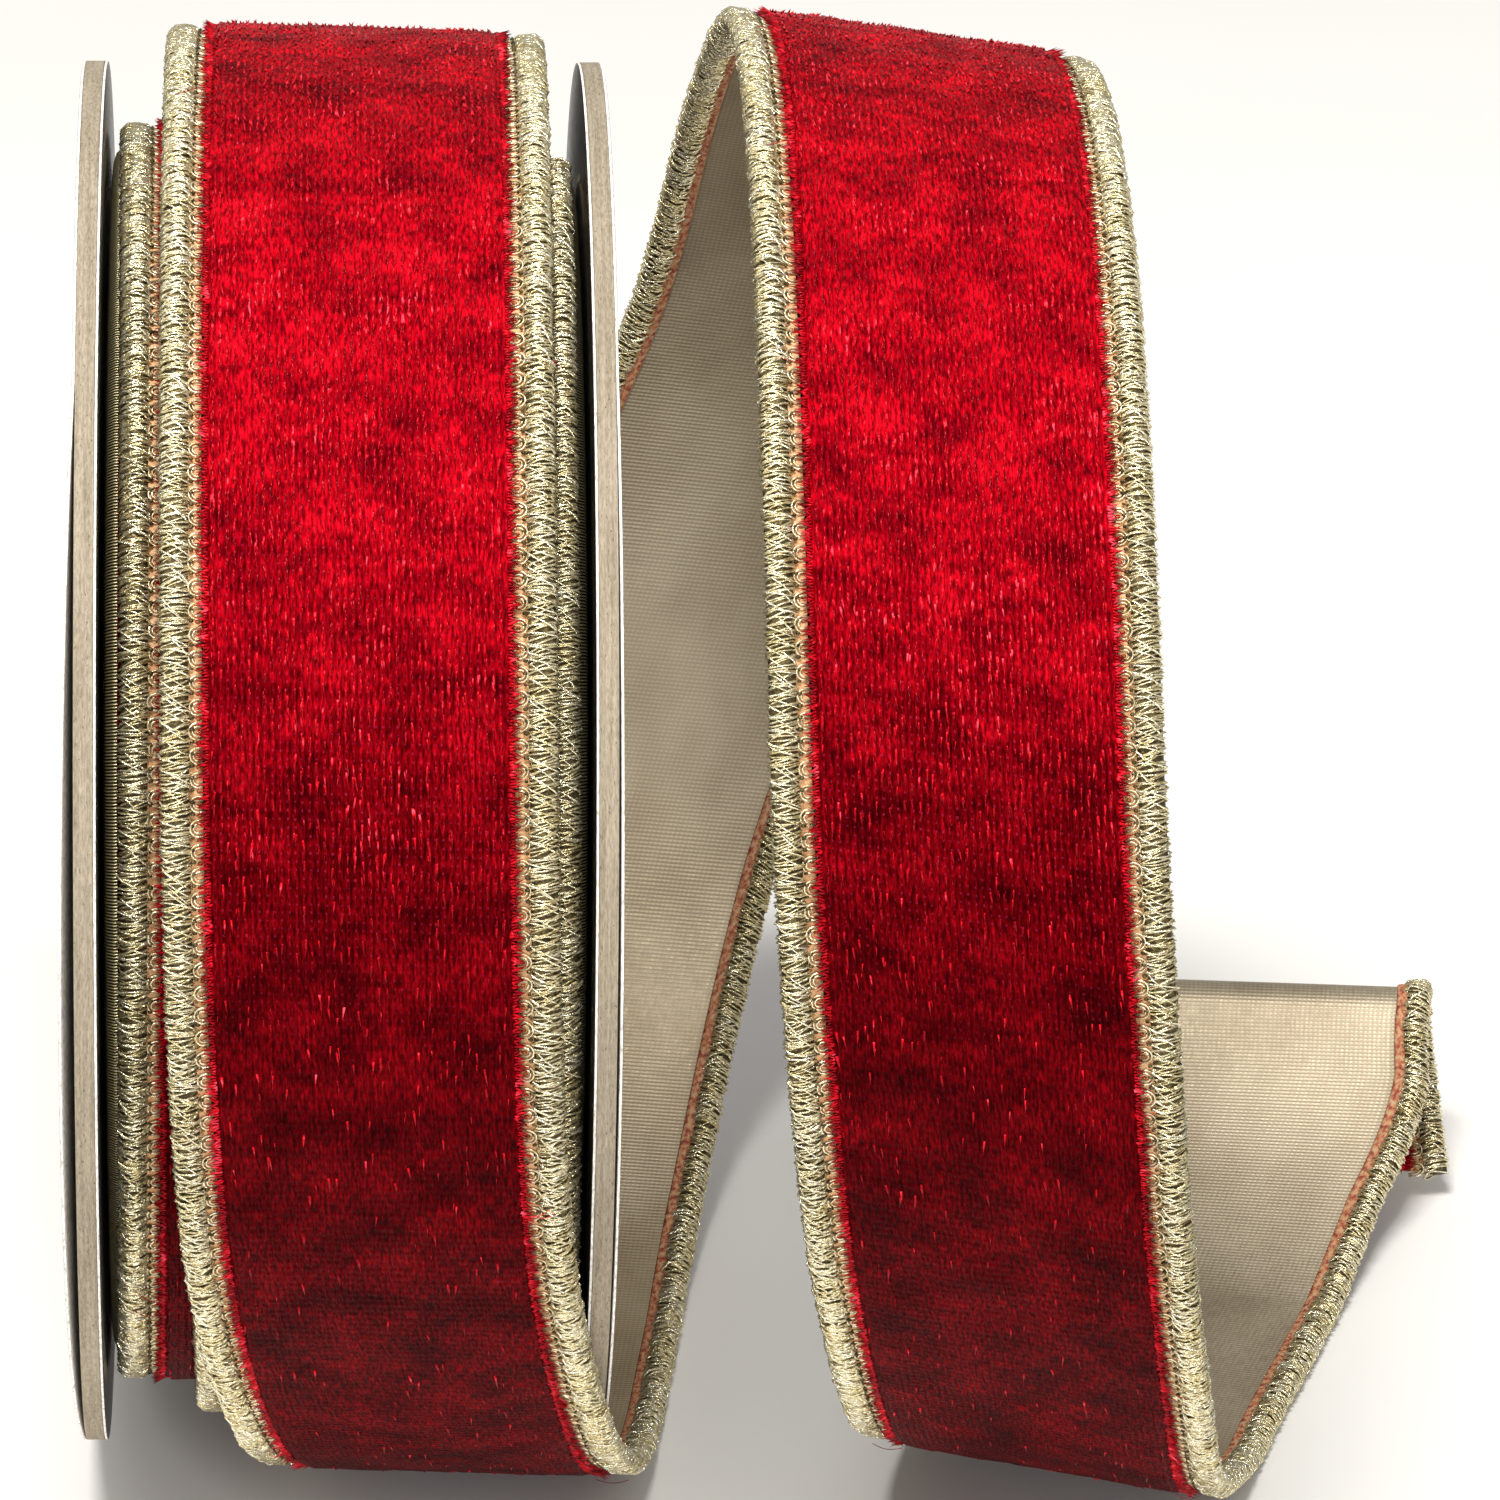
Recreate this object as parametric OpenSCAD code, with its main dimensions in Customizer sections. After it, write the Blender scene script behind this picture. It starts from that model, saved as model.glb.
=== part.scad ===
// Spool of wire-edged velvet ribbon with its last turns pulled loose.
// X runs along the spool's axle, Z is up, and the origin is the centre of the arbor hole.
// The loose turns stand on the floor and carry the spool, which turns inside them.

/* [Ribbon] */
// Full width of the ribbon, over both edge cords
ribbon_w = 38.1; // [25:0.1:50]
// Radius of the metallic cord along each edge
edge_r = 1.25; // [0.9:0.05:1.6]
// Height of the velvet pile
pile_h = 1.9; // [1.2:0.1:2.6]
// Thickness of the woven backing
backing_t = 0.3; // [0.2:0.05:0.5]
// Radius of the wire inside each edge cord
wire_r = 0.3; // [0.2:0.05:0.5]
// Width of the flat tape that shows beside each edge cord
tape_w = 1.7; // [1:0.1:3]
// Thickness of that tape
tape_t = 0.35; // [0.2:0.05:0.5]
// Width of the row of looped stitches on the tape
stitch_w = 1.1; // [0.6:0.1:1.6]

/* [Spool] */
// Outside diameter of the flanges
flange_d = 140.8; // [110:0.2:200]
// Thickness of a flange's chipboard
board_t = 1.9; // [1.2:0.1:4]
// Thickness of the paper on each side of the chipboard
paper_t = 0.3; // [0.2:0.05:0.6]
// Clear space between the ribbon and a flange, on each side
side_play = 4.75; // [3:0.05:8]
// Diameter of the arbor hole
arbor_d = 16; // [8:0.5:40]
// Outside diameter of the core tube
core_d = 57; // [50:0.5:76]
// Wall of the core tube
core_wall = 2; // [1:0.1:4]

/* [Winding] */
// Depth of the last wound turn's pile below the flange rim
pack_depth = 5.7; // [4:0.1:20]
// Thickness that one wound turn takes up
turn_t = 1.28; // [1:0.02:2.5]
// Play between the wound turns and the first loose turn
turn_play = 0.4; // [0.3:0.05:1]
// Play between the flange rim and the loose turns
rim_play = 0.6; // [0.4:0.05:3]

/* [Loose turns] */
// Space between the spool and the turn that hangs beside it
beside_gap = 14; // [5:0.5:40]
// Height of the folded end above the floor
tail_rise = 17.8; // [14:0.5:40]
// Radius of the fold at the ribbon's end
fold_r = 3.7; // [3:0.1:6]
// Length of the end that is folded over
flap_l = 16; // [4:0.5:16]

/* [Hidden] */
$fn = 96;

// Across the ribbon, from its middle line to each layer's edge
half_w = ribbon_w / 2;
cord_s = half_w - edge_r;
backing_s = cord_s - edge_r * 0.4;
tape_s = cord_s - edge_r * 0.8;
velvet_s = cord_s - edge_r - tape_w;
stitch_s = cord_s - edge_r - tape_w / 2;
layer_gap = 0.05;

// Radii of the winding, outwards from the axle
flange_r = flange_d / 2;
core_r = core_d / 2;
outer_turn_r = flange_r - pack_depth - pile_h;
wound_r = outer_turn_r - edge_r - layer_gap;
first_loose_r = outer_turn_r + pile_h + turn_play + edge_r;
loose_r = flange_r + rim_play + edge_r;
floor_z = -loose_r - pile_h;

// Places along the axle
flange_gap = ribbon_w + 2 * side_play;
flange_t = board_t + 2 * paper_t;
inner_x = flange_gap / 2;
outer_x = inner_x + flange_t;
outer_turn_x = -side_play + 0.2;
beside_x = outer_x + half_w + beside_gap;
first_loose_x = side_play - 0.5;

// Stations along the loose ribbon, chosen by hand:
// [turn angle, share of the way to the turn beside the spool, extra mm along the axle,
//  share of the rise from the wound turns to the flange rim, roll in degrees].
// The angle is 0 at the front, 90 underneath, 180 at the back and 270 on top.
tail_a = 810 + acos(1 - tail_rise / loose_r);
STATIONS = [
    [-86, 0, first_loose_x - 0.8, 0, 0],
    [-26, 0, first_loose_x - 0.8, 0, 0],
    [64, 0, first_loose_x, 0, 0],
    [154, 0, 3, 0.4, 0],
    [244, 0, 1.4, 1, 1.5],
    [334, 0, 1.2, 1, 1.5],
    [374, 0.05, 0, 1, 1.5],
    [404, 0.135, 0, 1, 1.5],
    [424, 0.20, 0, 1, 2],
    [450, 0.27, 0, 1, 2.5],
    [474, 0.345, 0, 1, 4],
    [505, 0.49, 0, 1, 5],
    [529, 0.665, 0, 1, 6],
    [552, 0.84, 0, 1, 7],
    [574, 0.915, 0, 1, 8],
    [604, 0.965, 0, 1, 8],
    [694, 0.995, 0, 1, 8.5],
    [728, 1, 3, 1, 9],
    [754, 1, 7.5, 1, 10],
    [784, 1, 13.5, 1, 10],
    [800, 1, 19, 1, 8.5],
    [817, 1, 26.6, 1, 6],
    [833, 1, 34, 1, 3.5],
    [tail_a - 6, 1, 40.2, 1, 2],
    [tail_a, 1, 41.2, 1, 2]
];
ring_step = 8;
fold_steps = 6;

// Smooth interpolation of one station column at an angle
function span(a, i = 0) =
    i >= len(STATIONS) - 2 || a < STATIONS[i + 1][0] ? i : span(a, i + 1);
function slope(i, c) =
    let (lo = max(0, i - 1), hi = min(len(STATIONS) - 1, i + 1))
    (STATIONS[hi][c] - STATIONS[lo][c]) / (STATIONS[hi][0] - STATIONS[lo][0]);
function value(a, c) =
    let (
        i = span(a),
        p = STATIONS[i], q = STATIONS[i + 1],
        w = q[0] - p[0],
        t = (a - p[0]) / w
    )
    (2 * t ^ 3 - 3 * t ^ 2 + 1) * p[c] + (t ^ 3 - 2 * t ^ 2 + t) * w * slope(i, c)
    + (3 * t ^ 2 - 2 * t ^ 3) * q[c] + (t ^ 3 - t ^ 2) * w * slope(i + 1, c);

function unit(v) = v / norm(v);
function place(a) =
    let (r = first_loose_r + (loose_r - first_loose_r) * value(a, 3))
    [beside_x * value(a, 1) + value(a, 2), -r * cos(a), -r * sin(a)];

// Frame of the ribbon at an angle: middle point, across, outwards, along.
// The ribbon is held level across the axle, so it climbs sideways without narrowing.
view_up = [0, sin(26), cos(26)];
function level_frame(a) =
    let (
        along = unit(place(a + 0.5) - place(a - 0.5)),
        lean = cos(value(a, 4)) * [1, 0, 0] - sin(value(a, 4)) * view_up,
        k = 1 / sqrt(1 - (lean * along) ^ 2),
        out = unit(cross(along, lean))
    )
    [place(a), k * lean, out * sign(out * [0, -cos(a), -sin(a)]), along];

// A frame is lifted until the pile and the cords clear the floor
function low_point(f) = min([for (s = [-1, 1])
    min((f[0] + s * velvet_s * f[1] + pile_h * f[2])[2], (f[0] + s * cord_s * f[1])[2] - edge_r)]);
function rested(f) = [f[0] + [0, 0, max(0, floor_z - low_point(f))], f[1], f[2], f[3]];

// The end turns back on itself: half a circle, then the straight flap
function folded(f, turn) =
    let (
        axis = unit(f[1]),
        drift = f[3] * axis,
        ahead = unit(f[3] - drift * axis),
        slip = fold_r * turn * PI / 180 * drift / sqrt(1 - drift ^ 2),
        out = cos(turn) * f[2] - sin(turn) * ahead
    )
    [f[0] + fold_r * f[2] - fold_r * out + slip * axis, f[1], out,
     sqrt(1 - drift ^ 2) * (cos(turn) * ahead + sin(turn) * f[2]) + drift * axis];
function shifted(f, by) = [f[0] + by * f[3], f[1], f[2], f[3]];

turn_frames = [for (i = [0 : floor((tail_a + 86) / ring_step)])
    rested(level_frame(min(tail_a, ring_step * i - 86)))];
end_frame = rested(level_frame(tail_a));

// The end folds flat back, or further where the flap's end would dip under the floor
function fold_turn(turn = 180) =
    low_point(shifted(folded(end_frame, turn), flap_l)) >= floor_z ? turn : fold_turn(turn + 0.25);
fold_frames = [for (i = [0 : fold_steps]) folded(end_frame, i * fold_turn() / fold_steps)];
FRAMES = concat(turn_frames, fold_frames, [shifted(fold_frames[fold_steps], flap_l)]);

// A strip of the ribbon: its outline is [across, outwards] points
module swept(outline) {
    n = len(outline);
    m = len(FRAMES);
    polyhedron(
        points = [for (f = FRAMES, p = outline) f[0] + p[0] * f[1] + p[1] * f[2]],
        faces = concat(
            [[for (j = [0 : n - 1]) j]],
            [for (i = [0 : m - 2], j = [0 : n - 1])
                [i * n + j, (i + 1) * n + j, (i + 1) * n + (j + 1) % n]],
            [for (i = [0 : m - 2], j = [0 : n - 1])
                [i * n + j, (i + 1) * n + (j + 1) % n, i * n + (j + 1) % n]],
            [[for (j = [n - 1 : -1 : 0]) (m - 1) * n + j]]
        ),
        convexity = 10
    );
}
function strip(s0, s1, n0, n1) = [[s0, n0], [s0, n1], [s1, n1], [s1, n0]];
function round_cord(s, r, sides) =
    [for (j = [0 : sides - 1]) [s - r * cos(360 * j / sides), r * sin(360 * j / sides)]];

// A ring of one outline about the axle: the outline is [radius, place along X]
module ring(r0, r1, x0, x1) {
    rotate([0, 90, 0]) rotate_extrude() translate([r0, x0]) square([r1 - r0, x1 - x0]);
}
module cord_ring(x, r) {
    rotate([0, 90, 0]) rotate_extrude() translate([r, x]) circle(r = edge_r, $fn = 24);
}

// Flanges: chipboard faced with paper on both sides
module flange_board(side) {
    ring(arbor_d / 2, flange_r, side * (inner_x + flange_t / 2) - board_t / 2,
        side * (inner_x + flange_t / 2) + board_t / 2);
}
module flange_paper(side, x) {
    ring(arbor_d / 2, flange_r, side * (x + paper_t / 2) - paper_t / 2,
        side * (x + paper_t / 2) + paper_t / 2);
}
module left_flange_board() { color("#b4a591") flange_board(-1); }
module right_flange_board() { color("#b4a591") flange_board(1); }
module left_flange_inner_paper() { color("#141314") flange_paper(-1, inner_x); }
module right_flange_inner_paper() { color("#141314") flange_paper(1, inner_x); }
module left_flange_outer_paper() { color("#141314") flange_paper(-1, inner_x + flange_t - paper_t); }
module right_flange_outer_paper() { color("#141314") flange_paper(1, inner_x + flange_t - paper_t); }

// Core tube, glued between the flanges
glue_r = 1.6;
module core_tube() { color("#a58c6e") ring(core_r - core_wall, core_r, -inner_x, inner_x); }
module glue_bead(side) {
    x = side * inner_x;
    rotate([0, 90, 0]) rotate_extrude() polygon([
        [core_r - core_wall, x], [core_r - core_wall - glue_r, x], [core_r - core_wall, x - side * glue_r]]);
}
module left_glue_bead() { color("#e6dcc0") glue_bead(-1); }
module right_glue_bead() { color("#e6dcc0") glue_bead(1); }

// Tape that holds the ribbon's inner end to the core
start_tape_t = 0.12;
start_tape_w = 25;
module start_tape() {
    color("#e8e2c8") rotate([0, 90, 0]) rotate([0, 0, 20])
        rotate_extrude(angle = 40) translate([core_r, -start_tape_w / 2])
            square([start_tape_t, start_tape_w]);
}

// The wound turns as one solid, each turn laid a little to one side of the last
turns = floor((wound_r - core_r - start_tape_t) / turn_t);
first_wound_r = wound_r - turns * turn_t;
function stagger(i) = 0.42 * side_play * (sin(137 * i) + 0.5 * sin(61 * i)) / 1.5;
module wound_turns() {
    right = [for (i = [0 : turns - 1], e = [0, 1])
        [first_wound_r + (i + e) * turn_t, stagger(i) + half_w]];
    left = [for (i = [turns - 1 : -1 : 0], e = [1, 0])
        [first_wound_r + (i + e) * turn_t, stagger(i) - half_w]];
    color("#8c0b1c") rotate([0, 90, 0]) rotate_extrude() polygon(concat(right, left));
}

// Outermost wound turn, pushed against the left flange
module outer_turn_ring(s0, s1, n0, n1) {
    ring(outer_turn_r + n0, outer_turn_r + n1, outer_turn_x + s0, outer_turn_x + s1);
}
module outer_turn_velvet() { color("#b00a22") outer_turn_ring(-velvet_s, velvet_s, 0, pile_h); }
module outer_turn_backing() {
    color("#b9a77c") outer_turn_ring(-backing_s, backing_s, -layer_gap - backing_t, -layer_gap);
}
module outer_turn_left_edge() { color("#a8976a") cord_ring(outer_turn_x - cord_s, outer_turn_r); }
module outer_turn_right_edge() { color("#a8976a") cord_ring(outer_turn_x + cord_s, outer_turn_r); }
module outer_turn_left_tape() { color("#d7a56e") outer_turn_ring(-tape_s, -velvet_s - layer_gap, 0, tape_t); }
module outer_turn_right_tape() { color("#d7a56e") outer_turn_ring(velvet_s + layer_gap, tape_s, 0, tape_t); }

// Loose ribbon: velvet face, woven backing, wired cords, tapes and looped stitches
module loose_velvet() { color("#c00c26") swept(strip(-velvet_s, velvet_s, 0, pile_h)); }
module loose_backing() {
    color("#b9a77c") swept(strip(-backing_s, backing_s, -layer_gap - backing_t, -layer_gap));
}
module loose_left_edge() { color("#a8976a") swept(round_cord(-cord_s, edge_r, 8)); }
module loose_right_edge() { color("#a8976a") swept(round_cord(cord_s, edge_r, 8)); }
module loose_left_wire() { color("#8e8f92") swept(round_cord(-cord_s, wire_r, 5)); }
module loose_right_wire() { color("#8e8f92") swept(round_cord(cord_s, wire_r, 5)); }
module loose_left_tape() { color("#d7a56e") swept(strip(-tape_s, -velvet_s - layer_gap, 0, tape_t)); }
module loose_right_tape() { color("#d7a56e") swept(strip(velvet_s + layer_gap, tape_s, 0, tape_t)); }
module stitching(side) {
    middle = side * stitch_s;
    swept(strip(middle - stitch_w / 2, middle + stitch_w / 2, tape_t + layer_gap, 2 * tape_t));
}
module loose_left_stitching() { color("#efe3c4") stitching(-1); }
module loose_right_stitching() { color("#efe3c4") stitching(1); }

left_flange_board();
left_flange_inner_paper();
left_flange_outer_paper();
right_flange_board();
right_flange_inner_paper();
right_flange_outer_paper();
core_tube();
left_glue_bead();
right_glue_bead();
start_tape();
wound_turns();
outer_turn_velvet();
outer_turn_backing();
outer_turn_left_edge();
outer_turn_right_edge();
outer_turn_left_tape();
outer_turn_right_tape();
loose_velvet();
loose_backing();
loose_left_edge();
loose_right_edge();
loose_left_wire();
loose_right_wire();
loose_left_tape();
loose_right_tape();
loose_left_stitching();
loose_right_stitching();
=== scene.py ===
# %% [markdown]
# # A spool of wire-edged velvet ribbon
# The real thing is a ribbon woven in two faces, red velvet outside and a gold metallic weave
# inside. Each edge is bound over a thin steel wire with metallic thread, and a flat peach tape with
# a row of looped stitches covers the join. Some turns are wound on a cardboard spool and the last
# ones are pulled loose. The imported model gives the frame: sizes come from its boxes.

# %% Load the frame
import math
import bpy
import numpy as np
from mathutils import Matrix, Vector, noise


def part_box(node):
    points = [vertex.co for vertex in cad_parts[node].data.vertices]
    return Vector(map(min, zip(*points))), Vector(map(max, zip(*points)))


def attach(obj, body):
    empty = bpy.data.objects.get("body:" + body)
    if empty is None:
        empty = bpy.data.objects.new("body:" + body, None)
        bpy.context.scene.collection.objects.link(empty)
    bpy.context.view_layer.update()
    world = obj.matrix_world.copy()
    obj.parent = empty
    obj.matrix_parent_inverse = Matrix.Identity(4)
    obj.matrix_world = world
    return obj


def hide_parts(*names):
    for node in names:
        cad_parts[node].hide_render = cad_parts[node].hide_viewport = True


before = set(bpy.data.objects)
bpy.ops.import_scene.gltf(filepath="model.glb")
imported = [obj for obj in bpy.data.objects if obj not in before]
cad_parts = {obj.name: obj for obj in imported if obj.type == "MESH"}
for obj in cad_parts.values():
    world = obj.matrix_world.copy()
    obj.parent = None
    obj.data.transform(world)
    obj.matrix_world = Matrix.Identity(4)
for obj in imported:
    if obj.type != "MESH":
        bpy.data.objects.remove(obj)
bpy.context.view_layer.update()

MM = 0.001

# %% [markdown]
# ## Sizes
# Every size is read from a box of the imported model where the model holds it, so a changed spool
# still gets a ribbon that fits. The rest are the ribbon maker's own small sizes.

# %% Sizes in millimetres
def box_mm(node):
    low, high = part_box(node)
    return np.array(low) / MM, np.array(high) / MM


flange_low, flange_high = box_mm("right_flange_board")
flange_r = (flange_high[2] - flange_low[2]) / 2
paper_t = flange_low[0] - box_mm("right_flange_inner_paper")[0][0]
inner_x = flange_low[0] - paper_t
outer_x = flange_high[0] + paper_t
arbor_r = 8.0
core_r = box_mm("core_tube")[1][2]

turn_low, turn_high = box_mm("outer_turn_velvet")
cord_low, cord_high = box_mm("outer_turn_left_edge")
edge_r = (cord_high[0] - cord_low[0]) / 2
outer_turn_r = cord_high[2] - edge_r
pile_h = turn_high[2] - outer_turn_r
velvet_s = (turn_high[0] - turn_low[0]) / 2
outer_turn_x = (turn_high[0] + turn_low[0]) / 2
cord_s = outer_turn_x - (cord_high[0] + cord_low[0]) / 2
half_w = cord_s + edge_r
backing_s = (box_mm("outer_turn_backing")[1][0] - box_mm("outer_turn_backing")[0][0]) / 2
backing_t = 0.3
turn_play, rim_play, beside_gap = 0.4, 0.6, 14.0
tail_rise, fold_r, flap_l = 17.8, 3.7, 16.0
turn_t = 1.28
RIB_MM = 0.70  # from one rib of the velvet's ground cloth to the next

side_play = inner_x - half_w
first_loose_r = outer_turn_r + pile_h + turn_play + edge_r
loose_r = flange_r + rim_play + edge_r
floor_z = -loose_r - pile_h
beside_x = outer_x + half_w + beside_gap
first_loose_x = side_play - 0.5
print(f"ribbon {2 * half_w:.1f} wide, flange radius {flange_r:.1f}, floor at {floor_z:.2f} mm")

# %% [markdown]
# ## Camera
# The camera stands a metre off and looks down on the spool. It is turned a little to the left and
# levelled so that the axle lies level in the view.

# %% Camera
AZIMUTH, ELEVATION = math.radians(-3), math.radians(26)
SENSOR = 36  # mm
DISTANCE, FRAME_WIDTH = 1000.0, 153.5  # mm, and mm across the view at the axle
AIM = 41.7  # mm to the right of the arbor hole

to_camera = Vector((math.sin(AZIMUTH) * math.cos(ELEVATION),
                    -math.cos(AZIMUTH) * math.cos(ELEVATION), math.sin(ELEVATION)))
level = (Vector((1, 0, 0)) - to_camera * to_camera.x).normalized()
upward = to_camera.cross(level)
camera = bpy.data.objects.new("camera", bpy.data.cameras.new("camera"))
bpy.context.scene.collection.objects.link(camera)
turned = Matrix((level, upward, to_camera)).transposed()
camera.matrix_world = Matrix.Translation((level * AIM + to_camera * DISTANCE) * MM) @ turned.to_4x4()
camera.data.sensor_width = SENSOR
camera.data.lens = SENSOR * DISTANCE / FRAME_WIDTH
camera.data.clip_start, camera.data.clip_end = 0.05, 20
bpy.context.scene.camera = camera
print(f"lens {camera.data.lens:.0f} mm")

# %% [markdown]
# ## The ribbon's route
# Ribbon bends easily along its length and hardly at all across, so each cross-section stays a
# straight line. The route is a list of given stations: the turn angle, the share of the way
# to the turn beside the spool, extra millimetres along the axle, the share of the rise from the wound
# turns to the flange rim, and the roll. The same stations shape the imported model.

# %% Stations
tail_a = 810 + math.degrees(math.acos(1 - tail_rise / loose_r))
STATIONS = np.array([
    [-86, 0, first_loose_x - 0.8, 0, 0],
    [-26, 0, first_loose_x - 0.8, 0, 0],
    [64, 0, first_loose_x, 0, 0],
    [154, 0, 3, 0.4, 0],
    [244, 0, 1.4, 1, 1.5],
    [334, 0, 1.2, 1, 1.5],
    [374, 0.05, 0, 1, 1.5],
    [404, 0.135, 0, 1, 1.5],
    [424, 0.20, 0, 1, 2],
    [450, 0.27, 0, 1, 2.5],
    [474, 0.345, 0, 1, 4],
    [505, 0.49, 0, 1, 5],
    [529, 0.665, 0, 1, 6],
    [552, 0.84, 0, 1, 7],
    [574, 0.915, 0, 1, 8],
    [604, 0.965, 0, 1, 8],
    [694, 0.995, 0, 1, 8.5],
    [728, 1, 3, 1, 9],
    [754, 1, 7.5, 1, 10],
    [784, 1, 13.5, 1, 10],
    [800, 1, 19, 1, 8.5],
    [817, 1, 26.6, 1, 6],
    [833, 1, 34, 1, 3.5],
    [tail_a - 6, 1, 40.2, 1, 2],
    [tail_a, 1, 41.2, 1, 2],
])
print(len(STATIONS), "stations, ribbon's end folds at", round(tail_a, 1), "degrees")


# %% Frames along the ribbon
def unit(v):
    return v / np.linalg.norm(v)


def slope(i, column):
    low, high = max(0, i - 1), min(len(STATIONS) - 1, i + 1)
    return (STATIONS[high][column] - STATIONS[low][column]) / (STATIONS[high][0] - STATIONS[low][0])


def value(angle, column):
    """A station column at an angle, on a smooth curve through the stations."""
    i = int(np.clip(np.searchsorted(STATIONS[:, 0], angle, "right") - 1, 0, len(STATIONS) - 2))
    before, after = STATIONS[i], STATIONS[i + 1]
    gap = after[0] - before[0]
    t = (angle - before[0]) / gap
    return ((2 * t**3 - 3 * t**2 + 1) * before[column] + (t**3 - 2 * t**2 + t) * gap * slope(i, column)
            + (3 * t**2 - 2 * t**3) * after[column] + (t**3 - t**2) * gap * slope(i + 1, column))


def place(angle):
    r = first_loose_r + (loose_r - first_loose_r) * value(angle, 3)
    a = math.radians(angle)
    x = beside_x * value(angle, 1) + value(angle, 2)
    return np.array([x, -r * math.cos(a), -r * math.sin(a)])


VIEW_UP = np.array([0, math.sin(ELEVATION), math.cos(ELEVATION)])


def level_frame(angle):
    """Middle point, across, outwards and along, at an angle."""
    along = unit(place(angle + 0.5) - place(angle - 0.5))
    roll = math.radians(value(angle, 4))
    lean = math.cos(roll) * np.array([1.0, 0, 0]) - math.sin(roll) * VIEW_UP
    across = lean / math.sqrt(1 - np.dot(lean, along) ** 2)
    outward = unit(np.cross(along, lean))
    a = math.radians(angle)
    if np.dot(outward, [0, -math.cos(a), -math.sin(a)]) < 0:
        outward = -outward
    return [place(angle), across, outward, along]


def rested(frame_at):
    """Lifts a frame until the pile and the cords clear the floor."""
    middle, across, outward, along = frame_at
    lows = []
    for side in (-1, 1):
        lows.append((middle + side * velvet_s * across + pile_h * outward)[2])
        lows.append((middle + side * cord_s * across)[2] - edge_r)
    return [middle + np.array([0, 0, max(0.0, floor_z - min(lows))]), across, outward, along]


def folded(end, turn):
    """The end bent back about a line across the ribbon."""
    middle, across, outward, along = end
    axis = unit(across)
    drift = float(np.dot(along, axis))
    ahead = unit(along - drift * axis)
    kept = math.sqrt(1 - drift**2)
    a = math.radians(turn)
    out = math.cos(a) * outward - math.sin(a) * ahead
    forward = kept * (math.cos(a) * ahead + math.sin(a) * outward) + drift * axis
    moved = middle + fold_r * outward - fold_r * out + axis * (fold_r * a * drift / kept)
    return [moved, across, out, forward]


FOLD_STEP = 9  # degrees


def loose_frames(step):
    """Frames from the hidden start of the loose ribbon to the cut end of its flap."""
    angles = np.arange(STATIONS[0][0], tail_a, step)
    frames = [rested(level_frame(a)) for a in angles]
    end = rested(level_frame(tail_a))
    frames += [folded(end, turn) for turn in np.arange(0, 180 + FOLD_STEP, FOLD_STEP)]
    last = frames[-1]
    for far in np.arange(1, flap_l + 0.01, 1.0):
        frames.append([last[0] + far * last[3], *last[1:]])
    return frames


def turn_frames(radius, x, step=2.0, wander=0.0):
    """Frames round one wound turn, without the last, which is the first again.
    It may wander along the axle, most at the upper front."""
    frames = []
    for angle in np.arange(180, 540, step):
        a = math.radians(angle)
        outward = np.array([0, -math.cos(a), -math.sin(a)])
        along = np.array([0, math.sin(a), -math.cos(a)])
        off = wander * (0.5 + 0.5 * math.cos(a + math.radians(35)))
        frames.append([np.array([x + off, 0, 0]) + radius * outward, np.array([1.0, 0, 0]), outward, along])
    return frames


RIBBON = loose_frames(1.0)

# %% [markdown]
# ## Making meshes and materials
# A strip of ribbon is one outline carried along the frames. Its UV map holds real millimetres, across
# and along, so that a weave or a row of stitches follows the cloth round every bend.

# %% Mesh helpers
def new_piece(name, points, faces, uv=None, materials=(), face_material=None, smooth=True):
    """An object from points in millimetres; uv holds one (across, along) for each point."""
    mesh = bpy.data.meshes.new(name)
    points = np.asarray(points, float) * MM
    mesh.from_pydata(points.tolist(), [], [list(map(int, face)) for face in faces])
    for material in materials:
        mesh.materials.append(material)
    if face_material is not None:
        mesh.polygons.foreach_set("material_index", np.asarray(face_material, np.int32))
    if uv is not None:
        layer = mesh.uv_layers.new(name="cloth_mm")
        corner = np.zeros(len(mesh.loops), np.int32)
        mesh.loops.foreach_get("vertex_index", corner)
        layer.data.foreach_set("uv", np.asarray(uv, np.float32)[corner].ravel())
    mesh.polygons.foreach_set("use_smooth", [smooth] * len(mesh.polygons))
    mesh.update()
    piece = bpy.data.objects.new(name, mesh)
    bpy.context.scene.collection.objects.link(piece)
    return piece


def along_mm(frames):
    """Distance along the ribbon at each frame, in millimetres."""
    gaps = [np.linalg.norm(b[0] - a[0]) for a, b in zip(frames, frames[1:])]
    return np.concatenate([[0], np.cumsum(gaps)])


def swept(name, frames, outline, material, closed=False, relief=None):
    """Carries a closed outline of (across, outward) points along the frames.
    relief(s, along, n) moves a point outward. The outline's first and last points join."""
    outline = np.asarray(outline, float)
    count, rows = len(outline), len(frames)
    length = along_mm(frames)
    points, uv = [], []
    for i, (middle, across, outward, _) in enumerate(frames):
        for s, n in outline:
            lift = relief(s, length[i], n) if relief else 0.0
            points.append(middle + s * across + (n + lift) * outward)
            uv.append((s, length[i]))
    faces = []
    last = rows if closed else rows - 1
    for i in range(last):
        k = (i + 1) % rows
        for j in range(count):
            m = (j + 1) % count
            faces.append((i * count + j, i * count + m, k * count + m, k * count + j))
    if not closed:
        faces.append(tuple(range(count - 1, -1, -1)))
        faces.append(tuple((rows - 1) * count + j for j in range(count)))
    piece = new_piece(name, points, faces, uv, [material])
    face_out(piece)
    return piece


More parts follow.
